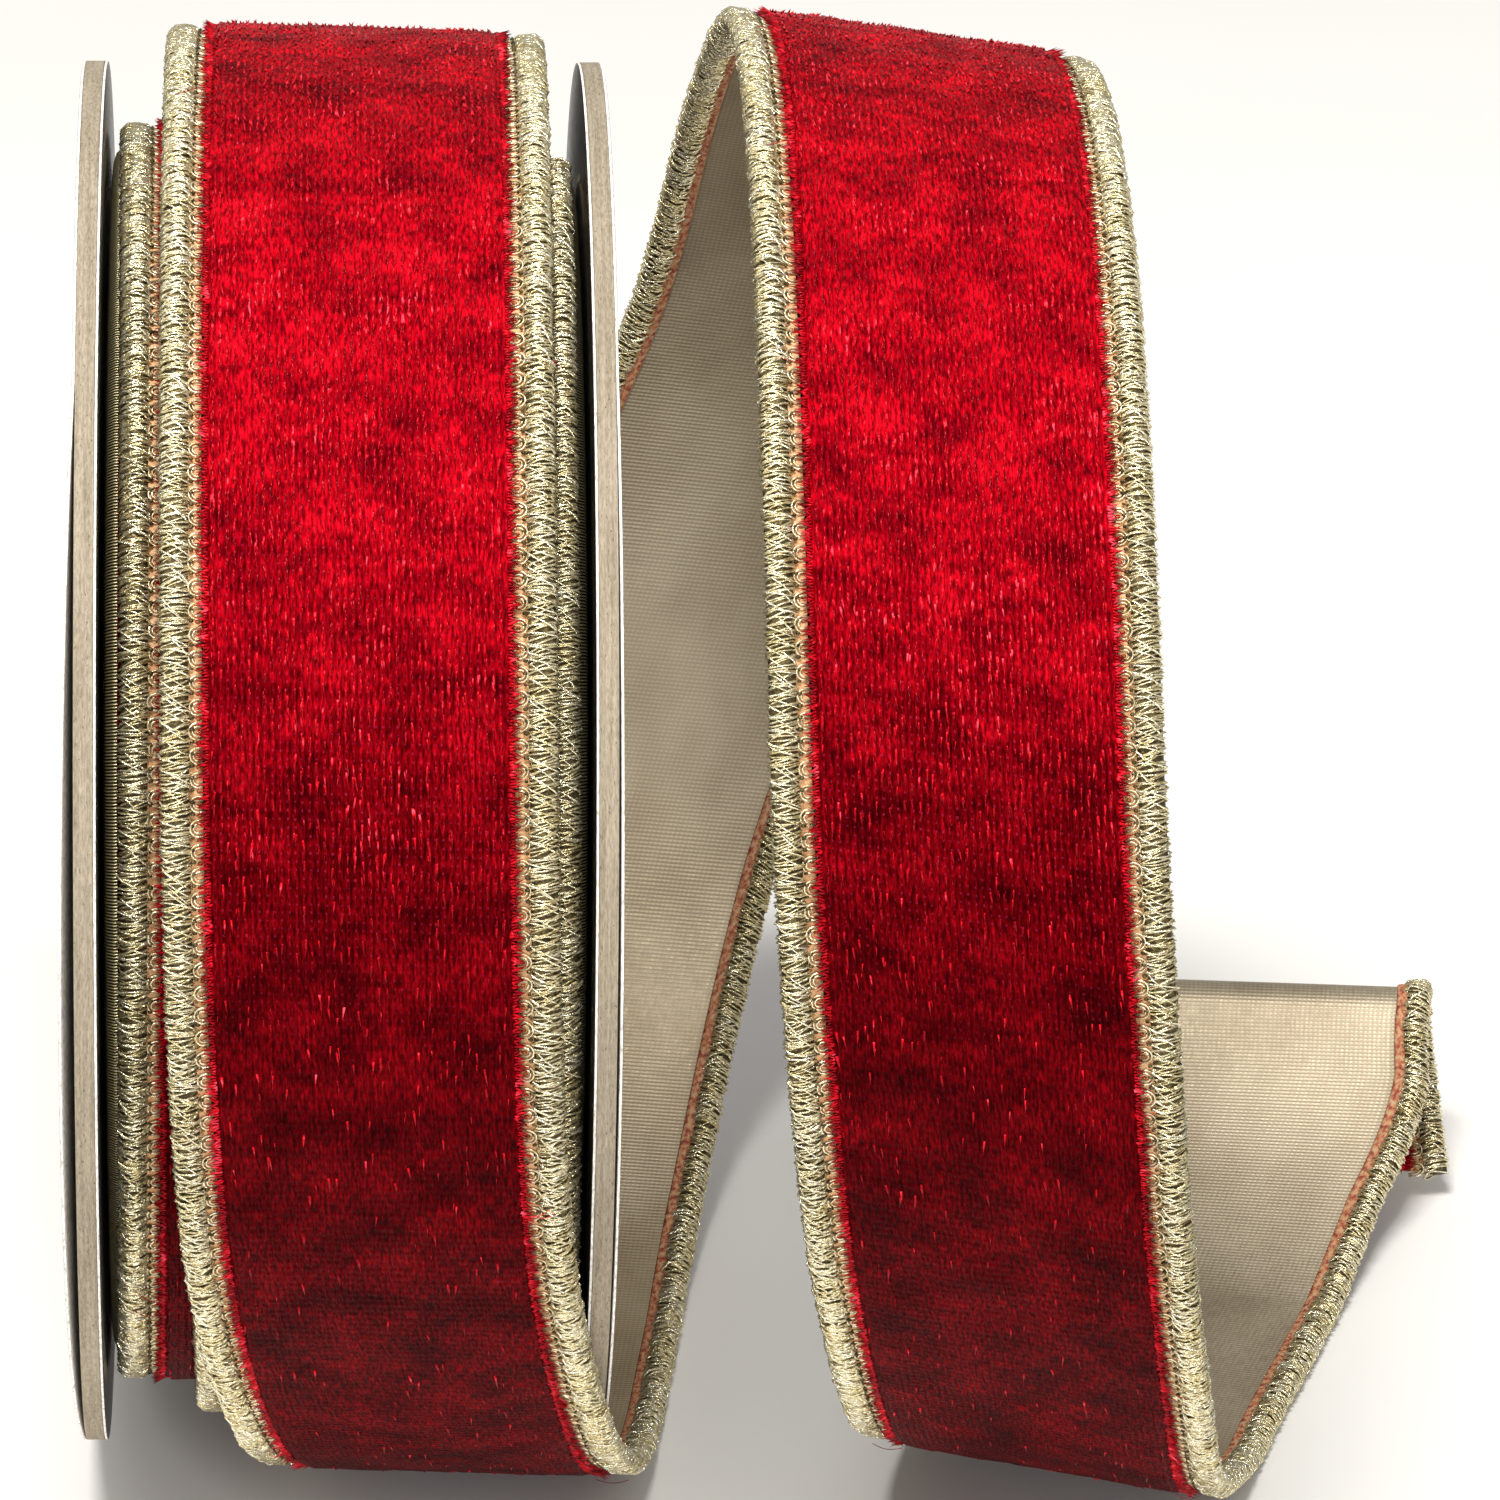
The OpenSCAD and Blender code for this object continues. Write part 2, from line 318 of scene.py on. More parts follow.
def face_out(piece):
    """Turns a closed mesh's faces outward if it came out inside out."""
    mesh = piece.data
    mesh.calc_loop_triangles()
    tri = np.zeros(len(mesh.loop_triangles) * 3, np.int32)
    mesh.loop_triangles.foreach_get("vertices", tri)
    co = np.zeros(len(mesh.vertices) * 3)
    mesh.vertices.foreach_get("co", co)
    a, b, c = co.reshape(-1, 3)[tri.reshape(-1, 3)].transpose(1, 0, 2)
    if np.einsum("ij,ij->", a, np.cross(b, c)) < 0:
        mesh.flip_normals()


def rail(frames, s, n, closed=False):
    """A line along the ribbon, at one place across it, as a mesh of edges."""
    points = [(m + s * across + n * out) * MM for m, across, out, _ in frames]
    edges = [(i, i + 1) for i in range(len(points) - 1)]
    if closed:
        edges.append((len(points) - 1, 0))
    mesh = bpy.data.meshes.new("rail")
    mesh.from_pydata([p.tolist() for p in points], edges, [])
    line = bpy.data.objects.new("rail", mesh)
    bpy.context.scene.collection.objects.link(line)
    return line


print("mesh helpers ready")


# %% Material helpers
def colour(code):
    """A linear colour from an sRGB hex value."""
    parts = [int(code[i:i + 2], 16) / 255 for i in (0, 2, 4)]
    return tuple(c / 12.92 if c <= 0.04045 else ((c + 0.055) / 1.055) ** 2.4 for c in parts) + (1.0,)


def new_material(name, base, roughness, metallic=0.0):
    material = bpy.data.materials.new(name)
    material.use_nodes = True
    shader = material.node_tree.nodes["Principled BSDF"]
    shader.inputs["Base Color"].default_value = colour(base)
    shader.inputs["Roughness"].default_value = roughness
    shader.inputs["Metallic"].default_value = metallic
    return material, material.node_tree, shader


def add(tree, kind, settings=None, inputs=None):
    """A node with its settings; an input takes a value or another node's output."""
    node = tree.nodes.new(kind)
    for name, setting in (settings or {}).items():
        setattr(node, name, setting)
    for name, given in (inputs or {}).items():
        if isinstance(given, bpy.types.NodeSocket):
            tree.links.new(given, node.inputs[name])
        else:
            node.inputs[name].default_value = given
    return node


def cloth_place(tree, across_mm, run_mm):
    """Coordinates on the cloth, where one unit is across_mm by run_mm."""
    uv = add(tree, "ShaderNodeUVMap", {"uv_map": "cloth_mm"})
    scaled = add(tree, "ShaderNodeMapping", None, {"Vector": uv.outputs["UV"]})
    scaled.inputs["Scale"].default_value = (1 / across_mm, 1 / run_mm, 1)
    return scaled.outputs["Vector"]


def grain(tree, place_at, detail=2.0, rough=0.5):
    """Noise whose blobs are about one unit of the given coordinates."""
    node = add(tree, "ShaderNodeTexNoise", None,
               {"Vector": place_at, "Scale": 1.0, "Detail": detail, "Roughness": rough})
    return node.outputs["Fac"]


def ramp(tree, fac, stops):
    """A colour ramp; stops are (position, hex) or (position, grey)."""
    node = add(tree, "ShaderNodeValToRGB", None, {"Fac": fac})
    elements = node.color_ramp.elements
    while len(elements) < len(stops):
        elements.new(0.5)
    for element, (position, shade) in zip(elements, stops):
        element.position = position
        element.color = colour(shade) if isinstance(shade, str) else (shade, shade, shade, 1)
    return node.outputs["Color"]


def mix(tree, fac, a, b, blend="MIX"):
    """One colour over another; a and b are outputs or hex values."""
    node = add(tree, "ShaderNodeMix", {"data_type": "RGBA", "blend_type": blend})
    for name, given in (("Factor", fac), ("A", a), ("B", b)):
        socket = [s for s in node.inputs if s.name == name and s.enabled][0]
        if isinstance(given, bpy.types.NodeSocket):
            tree.links.new(given, socket)
        else:
            socket.default_value = colour(given) if isinstance(given, str) else given
    return [s for s in node.outputs if s.enabled][0]


def sums(tree, operation, a, b=0.0):
    node = add(tree, "ShaderNodeMath", {"operation": operation}, {0: a, 1: b})
    return node.outputs["Value"]


def bumped(tree, shader, height, distance_mm, strength):
    bump = add(tree, "ShaderNodeBump", None,
               {"Height": height, "Distance": distance_mm * MM, "Strength": strength})
    tree.links.new(bump.outputs["Normal"], shader.inputs["Normal"])


def paint(tree, shader, socket, output):
    tree.links.new(output, shader.inputs[socket])


def here(tree, scale_mm):
    """Object coordinates where one unit is scale_mm."""
    place_at = add(tree, "ShaderNodeTexCoord")
    scaled = add(tree, "ShaderNodeMapping", None, {"Vector": place_at.outputs["Object"]})
    size = scale_mm if hasattr(scale_mm, "__len__") else (scale_mm,) * 3
    scaled.inputs["Scale"].default_value = tuple(1 / (s * MM) for s in size)
    return scaled.outputs["Vector"]


def stripes(tree, coordinates, axis):
    """A smooth wave with one crest for each unit of the coordinates along an axis (X or Y)."""
    split = add(tree, "ShaderNodeSeparateXYZ", None, {"Vector": coordinates})
    turned_by = sums(tree, "MULTIPLY", split.outputs[axis], 2 * math.pi)
    wave = sums(tree, "SINE", turned_by)
    return sums(tree, "MULTIPLY_ADD", wave, 0.5)


print("material helpers ready")

# %% [markdown]
# ## Crushed velvet
# Velvet is a woven cloth with a cut pile of glossy fibre. Crushed velvet is pressed while wet, so its
# fibres lie over in patches: where they face the light they flash pink, and where they lean away the
# cloth goes almost black. The colour follows three scales: patches of some 5 mm, locks of fibre about
# 0.3 by 1.3 mm that run along the ribbon, and the ribs of the ground weave every 0.70 mm. Light and
# shade are painted over these. The colour is painted bright where a turn faces the light above and
# dark where it faces down. The grooves between the ribs carry painted shade, and pink painted glints
# sit on the ribs where the painted top light is strong.

# %% Velvet
def velvet_material():
    material, tree, shader = new_material("crushed velvet", "7A0212", 0.5)
    shader.inputs["Specular IOR Level"].default_value = 0.06
    shader.inputs["Specular Tint"].default_value = colour("FF3048")
    # painted_top_light is painted light and shade: near 1 where the cloth faces the light above, near 0 where
    # it faces down
    painted_top_light = add(tree, "ShaderNodeAttribute", {"attribute_name": "painted_top_light"}).outputs["Fac"]
    patches = grain(tree, cloth_place(tree, 7.0, 5.5), 3.0, 0.6)
    locks = grain(tree, cloth_place(tree, 0.26, 1.3), 2.0, 0.6)
    fine = grain(tree, cloth_place(tree, 0.16, 0.5), 1.0, 0.5)
    bend = grain(tree, cloth_place(tree, 3.0, 6.0), 2.0, 0.5)
    straight = cloth_place(tree, RIB_MM, 0.80)
    sway = sums(tree, "MULTIPLY", sums(tree, "SUBTRACT", bend, 0.5), 0.5)
    moved = add(tree, "ShaderNodeVectorMath", {"operation": "ADD"}, {0: straight, 1: sway})
    ribs = stripes(tree, moved.outputs["Vector"], "X")
    rows = stripes(tree, moved.outputs["Vector"], "Y")
    ground = ramp(tree, patches, [(0.32, "5C0008"), (0.50, "8A020E"), (0.66, "B00616")])
    # painted light and shade: the colour is multiplied brighter where the cloth faces the light above and
    # darker where it faces down
    ground = mix(tree, 1.0, ground, ramp(tree, painted_top_light, [(0.0, 0.30), (0.35, 0.58), (0.95, 1.5)]), "MULTIPLY")
    streak = ramp(tree, locks, [(0.36, 0.30), (0.52, 0.85), (0.66, 1.6)])
    shade = mix(tree, 1.0, ground, streak, "MULTIPLY")
    # top_lit: where the painted top light is strong; the rib shade and the pink glints are painted mostly
    # there
    top_lit = ramp(tree, painted_top_light, [(0.0, 0.05), (0.3, 1.0), (1.0, 0.7)])
    # painted shade in the grooves between the ribs, strongest where the painted top light is
    groove_shade = sums(tree, "MULTIPLY", top_lit, 0.5)
    shade = mix(tree, groove_shade, shade, ramp(tree, ribs, [(0.0, 0.42), (0.55, 1.0)]), "MULTIPLY")
    # painted_glint: pink painted glints on the ribs, where the fibres would catch the light
    painted_glint = sums(tree, "MULTIPLY", ribs, sums(tree, "MULTIPLY", rows, fine))
    painted_glint = ramp(tree, painted_glint, [(0.36, 0.0), (0.54, 1.0)])
    painted_glint = sums(tree, "MULTIPLY", sums(tree, "MULTIPLY", painted_glint, top_lit), 0.4)
    shade = mix(tree, painted_glint, shade, "B02448")
    paint(tree, shader, "Base Color", shade)
    rough = ramp(tree, fine, [(0.3, 0.40), (0.7, 0.65)])
    paint(tree, shader, "Roughness", rough)
    height = sums(tree, "ADD", locks, sums(tree, "MULTIPLY", fine, 0.4))
    height = sums(tree, "ADD", height, sums(tree, "MULTIPLY", ribs, 0.4))
    height = sums(tree, "ADD", height, sums(tree, "MULTIPLY", rows, 0.1))
    bumped(tree, shader, height, 0.30, 0.9)
    return material


velvet = velvet_material()
print("material", velvet.name)

# %% [markdown]
# ## Loose fibres
# A pile made only of colour looks painted at its outline, so locks of real fibre stand out of it.
# They share the velvet's dye; their colour changes from lock to lock in the model's own space.

# %% Fibre
def fibre_material():
    material, tree, shader = new_material("velvet fibre", "98051A", 0.28)
    shader.inputs["Specular IOR Level"].default_value = 0.6
    shader.inputs["Specular Tint"].default_value = colour("FF5866")
    tone = grain(tree, here(tree, 1.1), 2.0, 0.6)
    patches = grain(tree, here(tree, 7.0), 2.0, 0.5)
    both = sums(tree, "ADD", sums(tree, "MULTIPLY", patches, 0.4), sums(tree, "MULTIPLY", tone, 0.6))
    stops = [(0.38, "64020C"), (0.50, "940310"), (0.58, "C60A1C"), (0.66, "EC4C60")]
    paint(tree, shader, "Base Color", ramp(tree, both, stops))
    return material


fibre = fibre_material()
print("material", fibre.name)

# %% [markdown]
# ## Metallic weave
# The backing is a plain weave of gold-coloured film yarn, about 29 threads to the centimetre, drawn
# as 20 to 22, because finer threads would not show. Film yarn is flat and bright, so the cloth has a
# soft metal sheen. In the colour, each crossing is painted lighter as a painted glint, and the gaps
# between threads are painted darker as painted shade.

# %% Metallic weave
def weave_material():
    material, tree, shader = new_material("gold film weave", "B9A77C", 0.36, 0.85)
    thread = cloth_place(tree, 0.50, 0.46)
    warp = stripes(tree, thread, "X")
    weft = stripes(tree, thread, "Y")
    over = sums(tree, "MULTIPLY", weft, sums(tree, "ADD", sums(tree, "MULTIPLY", warp, 0.5), 0.5))
    tint = grain(tree, cloth_place(tree, 0.30, 1.4), 2.0, 0.5)
    cloud = grain(tree, cloth_place(tree, 9.0, 14.0), 2.0, 0.5)
    # the weave's pattern, painted lighter on the threads that lie over as a painted glint and darker between
    # them as painted shade
    base = ramp(tree, over, [(0.05, "8E7F68"), (0.45, "B2A28A"), (0.9, "DED1BA")])
    base = mix(tree, 0.5, base, ramp(tree, tint, [(0.2, "9C8D74"), (0.8, "CABDA4")]))
    base = mix(tree, 0.35, base, ramp(tree, cloud, [(0.35, "9E8F78"), (0.65, "CCBFA8")]))
    paint(tree, shader, "Base Color", base)
    paint(tree, shader, "Roughness", ramp(tree, tint, [(0.3, 0.46), (0.7, 0.62)]))
    bumped(tree, shader, over, 0.06, 0.55)
    return material


metallic_weave = weave_material()
print("material", metallic_weave.name)

# %% [markdown]
# ## Metallic thread, tape and paper
# The edge cord is wound with a thread of gold film over a pale core, so its glints run from straw to
# silver. The tape is plain cotton, and the flanges are grey chipboard faced with black paper whose
# cut edge is white.

# %% Thread, tape, seam and wire
def thread_material(name, dark, middle, light, grain_mm, roughness=0.26):
    material, tree, shader = new_material(name, middle, roughness, 0.78)
    tone = grain(tree, here(tree, grain_mm), 2.0, 0.7)
    patch = grain(tree, here(tree, 3.0), 1.0, 0.5)
    base = ramp(tree, tone, [(0.36, dark), (0.5, middle), (0.62, light)])
    base = mix(tree, 0.3, base, ramp(tree, patch, [(0.4, middle), (0.6, light)]))
    paint(tree, shader, "Base Color", base)
    paint(tree, shader, "Roughness", ramp(tree, tone, [(0.3, roughness + 0.2), (0.7, roughness - 0.06)]))
    twist = grain(tree, here(tree, grain_mm * 0.6), 1.0, 0.5)
    bumped(tree, shader, twist, 0.12, 0.8)
    return material


def cloth_tape_material():
    material, tree, shader = new_material("peach cotton tape", "DDA874", 0.75)
    weave = grain(tree, cloth_place(tree, 0.22, 0.22), 1.0, 0.5)
    tone = grain(tree, cloth_place(tree, 0.9, 1.6), 2.0, 0.5)
    base = ramp(tree, tone, [(0.35, "C58B57"), (0.55, "DFAE7C"), (0.75, "EAC193")])
    base = mix(tree, 0.35, base, ramp(tree, weave, [(0.3, "B57F50"), (0.7, "F0CBA0")]))
    paint(tree, shader, "Base Color", base)
    bumped(tree, shader, weave, 0.06, 0.7)
    return material


gold_thread = thread_material("gold film thread", "7C6C40", "DCCB98", "FFF8DA", 0.36, 0.24)
# The binding under the wraps is painted near black: painted shade in the gaps between the wraps.
shaded_cord_core = thread_material("shaded cord binding", "1E190E", "4A4028", "7A6C48", 0.4, 0.5)
bright_thread = thread_material("bright film thread", "A89660", "F0E4B8", "FFFDF0", 0.30, 0.16)
pale_thread = thread_material("pale stitching thread", "A08A58", "E2D2A8", "FFF8E0", 0.5, 0.34)
seam_thread = thread_material("orange seam thread", "7A3418", "B05A2C", "D08850", 0.6, 0.6)
seam_thread.node_tree.nodes["Principled BSDF"].inputs["Metallic"].default_value = 0.0
cotton_tape = cloth_tape_material()


def seam_chain_material():
    material, tree, shader = new_material("seam chain", "A85A34", 0.7)
    links = grain(tree, cloth_place(tree, 0.5, 0.7), 2.0, 0.6)
    shades = [(0.34, "7E2A22"), (0.46, "A8623E"), (0.58, "C2906A"), (0.70, "B8A27C")]
    paint(tree, shader, "Base Color", ramp(tree, links, shades))
    bumped(tree, shader, links, 0.12, 0.8)
    return material


seam_chain = seam_chain_material()


def steel_material():
    material, tree, shader = new_material("drawn steel wire", "9A9B9E", 0.3, 1.0)
    drawn = grain(tree, here(tree, (0.05, 0.6, 0.6)), 2.0, 0.5)
    paint(tree, shader, "Base Color", ramp(tree, drawn, [(0.3, "808286"), (0.7, "B4B5B8")]))
    return material


steel = steel_material()
print("materials", gold_thread.name, cotton_tape.name, steel.name)


# %% Chipboard, paper and glue
def board_material():
    """Recycled grey board: short fibres lie flat in plies, with dark specks."""
    material, tree, shader = new_material("grey chipboard", "9A8E7A", 0.9)
    fibres = grain(tree, here(tree, (0.18, 0.9, 0.9)), 3.0, 0.65)
    plies = grain(tree, here(tree, (0.35, 14.0, 14.0)), 2.0, 0.5)
    specks = grain(tree, here(tree, (0.16, 0.45, 0.45)), 1.0, 0.5)
    base = ramp(tree, fibres, [(0.30, "63574A"), (0.5, "8C806F"), (0.72, "AEA28F")])
    base = mix(tree, 0.45, base, ramp(tree, plies, [(0.35, "82765F"), (0.65, "ACA08C")]))
    base = mix(tree, ramp(tree, specks, [(0.68, 0.0), (0.74, 0.8)]), base, "4E3D2E")
    paint(tree, shader, "Base Color", base)
    bumped(tree, shader, fibres, 0.12, 0.8)
    return material


def black_paper_material():
    material, tree, shader = new_material("black coated paper", "111113", 0.32)
    felt = grain(tree, here(tree, 0.5), 3.0, 0.6)
    wear = grain(tree, here(tree, 9.0), 3.0, 0.6)
    paint(tree, shader, "Base Color", ramp(tree, wear, [(0.4, "0D0D0F"), (0.75, "1E1D1F")]))
    paint(tree, shader, "Roughness", ramp(tree, felt, [(0.3, 0.26), (0.7, 0.42)]))
    bumped(tree, shader, felt, 0.02, 0.6)
    return material


def paper_edge_material():
    material, tree, shader = new_material("white paper edge", "E4E0DA", 0.85)
    torn = grain(tree, here(tree, (0.2, 0.7, 0.7)), 2.0, 0.6)
    paint(tree, shader, "Base Color", ramp(tree, torn, [(0.28, "A9A29A"), (0.5, "E2DED8"), (0.7, "F7F5F1")]))
    bumped(tree, shader, torn, 0.05, 0.7)
    return material


def plain_grained(name, dark, light, roughness, grain_mm):
    material, tree, shader = new_material(name, light, roughness)
    tone = grain(tree, here(tree, grain_mm), 3.0, 0.6)
    paint(tree, shader, "Base Color", ramp(tree, tone, [(0.3, dark), (0.7, light)]))
    bumped(tree, shader, tone, 0.05, 0.5)
    return material


chipboard = board_material()
black_paper = black_paper_material()
paper_edge = paper_edge_material()
kraft_tube = plain_grained("kraft tube board", "8D7352", "B99B74", 0.85, (0.6, 0.3, 0.3))
dried_glue = plain_grained("dried white glue", "D8CCA8", "F0E8D0", 0.4, 1.2)
crepe_tape = plain_grained("crepe paper tape", "D9CFA8", "EFE8CC", 0.7, (1.4, 0.4, 0.4))
print("materials", chipboard.name, black_paper.name, kraft_tube.name)

# %% [markdown]
# ## Geometry Nodes for what repeats
# Wraps of thread, looped stitches and fibres repeat thousands of times along a line or over a face.
# Two small node trees place them. The line or face carries its own outward direction as an
# attribute, so a stitch lies flat on the cloth wherever the ribbon turns.

# %% Trees that place one thing many times
def tree_inputs(tree, wanted):
    """Adds named inputs and returns their identifiers."""
    tree.interface.new_socket("Geometry", in_out="INPUT", socket_type="NodeSocketGeometry")
    found = {}
    for label, kind in wanted:
        found[label] = tree.interface.new_socket(label, in_out="INPUT", socket_type=kind).identifier
    tree.interface.new_socket("Geometry", in_out="OUTPUT", socket_type="NodeSocketGeometry")
    return found


def placed(tree, start, points, along):
    """Sets the thing on the points, jittered, and ends the tree."""
    out = add(tree, "GeometryNodeInputNamedAttribute", {"data_type": "FLOAT_VECTOR"}, {"Name": "out"})
    aligned = add(tree, "FunctionNodeAxesToRotation", {"primary_axis": "Y", "secondary_axis": "Z"},
                  {"Primary Axis": along, "Secondary Axis": out.outputs[0]})
    low = add(tree, "ShaderNodeVectorMath", {"operation": "SCALE"},
              {"Vector": (-1.0, -1.0, -1.0), "Scale": start.outputs["Wobble"]})
    high = add(tree, "ShaderNodeVectorMath", {"operation": "SCALE"},
               {"Vector": (1.0, 1.0, 1.0), "Scale": start.outputs["Wobble"]})
    turn = add(tree, "FunctionNodeRandomValue", {"data_type": "FLOAT_VECTOR"},
               {"Min": low.outputs[0], "Max": high.outputs[0], "Seed": start.outputs["Seed"]})
    euler = add(tree, "FunctionNodeEulerToRotation", None, {"Euler": turn.outputs[0]})
    both = add(tree, "FunctionNodeRotateRotation", {"rotation_space": "LOCAL"},
               {"Rotation": aligned.outputs[0], "Rotate By": euler.outputs[0]})
    size = add(tree, "FunctionNodeRandomValue", {"data_type": "FLOAT"}, {"Seed": start.outputs["Seed"]})
    floats = [s for s in size.inputs if s.enabled and s.type == "VALUE"]
    tree.links.new(sums(tree, "SUBTRACT", 1.0, start.outputs["Spread"]), floats[0])
    tree.links.new(sums(tree, "ADD", 1.0, start.outputs["Spread"]), floats[1])
    thing = add(tree, "GeometryNodeObjectInfo", None, {"Object": start.outputs["Thing"]})
    set_on = add(tree, "GeometryNodeInstanceOnPoints", None,
                 {"Points": points, "Instance": thing.outputs["Geometry"], "Rotation": both.outputs[0],
                  "Scale": [s for s in size.outputs if s.enabled][0]})
    real = add(tree, "GeometryNodeRealizeInstances", None, {"Geometry": set_on.outputs[0]})
    coated = add(tree, "GeometryNodeSetMaterial", None,
                 {"Geometry": real.outputs[0], "Material": start.outputs["Material"]})
    add(tree, "NodeGroupOutput", None, {"Geometry": coated.outputs[0]})


COMMON = [("Thing", "NodeSocketObject"), ("Material", "NodeSocketMaterial"), ("Wobble", "NodeSocketFloat"),
          ("Spread", "NodeSocketFloat"), ("Seed", "NodeSocketInt")]


def line_tree():
    tree = bpy.data.node_groups.new("Things along a line", "GeometryNodeTree")
    found = tree_inputs(tree, COMMON + [("Pitch", "NodeSocketFloat")])
    start = add(tree, "NodeGroupInput")
    curve = add(tree, "GeometryNodeMeshToCurve", None, {"Mesh": start.outputs["Geometry"]})
    even = add(tree, "GeometryNodeResampleCurve", {"mode": "LENGTH"},
               {"Curve": curve.outputs[0], "Length": start.outputs["Pitch"]})
    dots = add(tree, "GeometryNodeCurveToPoints", {"mode": "EVALUATED"}, {"Curve": even.outputs[0]})
    placed(tree, start, dots.outputs["Points"], dots.outputs["Tangent"])
    return tree, found


def face_tree():
    tree = bpy.data.node_groups.new("Things over a face", "GeometryNodeTree")
    found = tree_inputs(tree, COMMON + [("Density", "NodeSocketFloat")])
    start = add(tree, "NodeGroupInput")
    share = add(tree, "GeometryNodeInputNamedAttribute", {"data_type": "FLOAT"}, {"Name": "share"})
    share_out = [s for s in share.outputs if s.enabled and s.name == "Attribute"][0]
    amount = sums(tree, "MULTIPLY", start.outputs["Density"], share_out)
    dots = add(tree, "GeometryNodeDistributePointsOnFaces", {"distribute_method": "RANDOM"},
               {"Mesh": start.outputs["Geometry"], "Density": amount, "Seed": start.outputs["Seed"]})
    way = add(tree, "GeometryNodeInputNamedAttribute", {"data_type": "FLOAT_VECTOR"}, {"Name": "along"})
    placed(tree, start, dots.outputs["Points"], way.outputs[0])
    return tree, found


LINE_TREE, LINE_INPUTS = line_tree()
FACE_TREE, FACE_INPUTS = face_tree()
print("node trees", LINE_TREE.name, "and", FACE_TREE.name)


# %% Running a tree and keeping its mesh
def give_vector(mesh, name, vectors):
    layer = mesh.attributes.new(name, "FLOAT_VECTOR", "POINT")
    layer.data.foreach_set("vector", np.asarray(vectors, np.float32).ravel())


def repeated(name, base, tree, inputs, settings):
    """The mesh that a tree makes from a base object; the base is used up."""
    modifier = base.modifiers.new("repeat", "NODES")
    modifier.node_group = tree
    for label, setting in settings.items():
        modifier[inputs[label]] = setting
    shown = base.evaluated_get(bpy.context.evaluated_depsgraph_get())
    mesh = bpy.data.meshes.new_from_object(shown)
    mesh.name = name
    for layer in [a.name for a in mesh.attributes if a.name in ("out", "along", "share")]:
        mesh.attributes.remove(mesh.attributes[layer])
    piece = bpy.data.objects.new(name, mesh)
    bpy.context.scene.collection.objects.link(piece)
    bpy.data.objects.remove(base)
    print(f"{name}: {len(mesh.polygons)} faces")
    return piece


def along_line(name, frames, s, n, thing, material, pitch_mm, wobble=0.0, spread=0.0, seed=1, closed=False):
    """Repeats a thing along the ribbon, at one place across it."""
    line = rail(frames, s, n, closed)
    give_vector(line.data, "out", [out for _, _, out, _ in frames])
    return repeated(name, line, LINE_TREE, LINE_INPUTS,
                    {"Thing": thing, "Material": material, "Wobble": wobble, "Spread": spread,
                     "Seed": seed, "Pitch": pitch_mm * MM})


print("ready to repeat")


# %% Small things to repeat
# In each of them, Y runs along the ribbon and Z stands out of it
STITCH_PITCH = 2.3
WRAP_PITCH, OVER_PITCH = 0.30, 0.62
CORD_HALF = 1.66  # the binding is flattened: wider than it is thick
CORD_MIDDLE = half_w - CORD_HALF


def tube_faces(rows, sides, closed):
    faces = []
    for i in range(rows if closed else rows - 1):
        k = (i + 1) % rows
        for j in range(sides):
            m = (j + 1) % sides
            faces.append((i * sides + j, k * sides + j, k * sides + m, i * sides + m))
    if not closed:
        faces.append(tuple(range(sides)))
        faces.append(tuple((rows - 1) * sides + j for j in range(sides - 1, -1, -1)))
    return faces


def tube(path, radius, sides):
    """Points and faces of a tube along a short path, with its sides turned from Z."""
    path = np.asarray(path, float)
    rows = len(path)
    points = []
    for i in range(rows):
        way = unit(path[min(rows - 1, i + 1)] - path[max(0, i - 1)])
        side = unit(np.cross(way, [0.13, 0.21, 1.0]))
        up = np.cross(side, way)
        for j in range(sides):
            a = 2 * math.pi * j / sides
            points.append(path[i] + radius * (math.cos(a) * side + math.sin(a) * up))
    return points, tube_faces(rows, sides, False)


def joined(parts):
    points, faces = [], []
    for part_points, part_faces in parts:
        faces += [tuple(i + len(points) for i in face) for face in part_faces]
        points += list(part_points)
    return points, faces


def wrap_thing(name, half_across, half_up, thread_r, slant):
    """One turn of thread round a cord that runs along Y."""
    around, sides = 8, 3
    run = np.array([0, 1, 0])
    points = []
    for k in range(around):
        a = 2 * math.pi * k / around
        x, z = (half_across - thread_r) * math.cos(a), (half_up - thread_r) * math.sin(a)
        radial = unit(np.array([x, 0, z]))
        for j in range(sides):
            b = 2 * math.pi * j / sides
            spoke = math.cos(b) * radial + math.sin(b) * run
            points.append(np.array([x, slant * x, z]) + thread_r * spoke)
    thing = new_piece(name, points, tube_faces(around, sides, True))
    face_out(thing)
    return thing


def stitch_thing(name, toward):
    """A looped stitch: two threads that come out beside the velvet, turn back at the cord and return.
    toward is +1 where the cord lies towards +X of the stitch."""
    parts = []
    for size in (0.78, 0.44):
        path = [(-toward * 0.9, -0.75 * size, -0.2)]
        for turn in np.linspace(-85, 85, 7):
            a = math.radians(turn)
            path.append((toward * (0.05 + size * math.cos(a)), size * math.sin(a), 0.1 + 0.1 * math.cos(a)))
        path.append((-toward * 0.9, 0.75 * size, -0.2))
        parts.append(tube(path, 0.10, 4))
    return new_piece(name, *joined(parts))


def hole_thing(name, across, run, up):
    """A needle's hole as a low button; in a dark finish it is painted shade in the hole."""
    corners = 6
    turns = np.linspace(0, 2 * math.pi, corners + 1)[:-1]
    rim = [(across * math.cos(a), run * math.sin(a), 0.0) for a in turns]
    faces = []
    for k in range(corners):
        faces.append((0, 1 + k, 1 + (k + 1) % corners))
    for k in range(corners):
        faces.append((corners + 1, 1 + (k + 1) % corners, 1 + k))
    return new_piece(name, [(0, 0, up), *rim, (0, 0, -up)], faces)


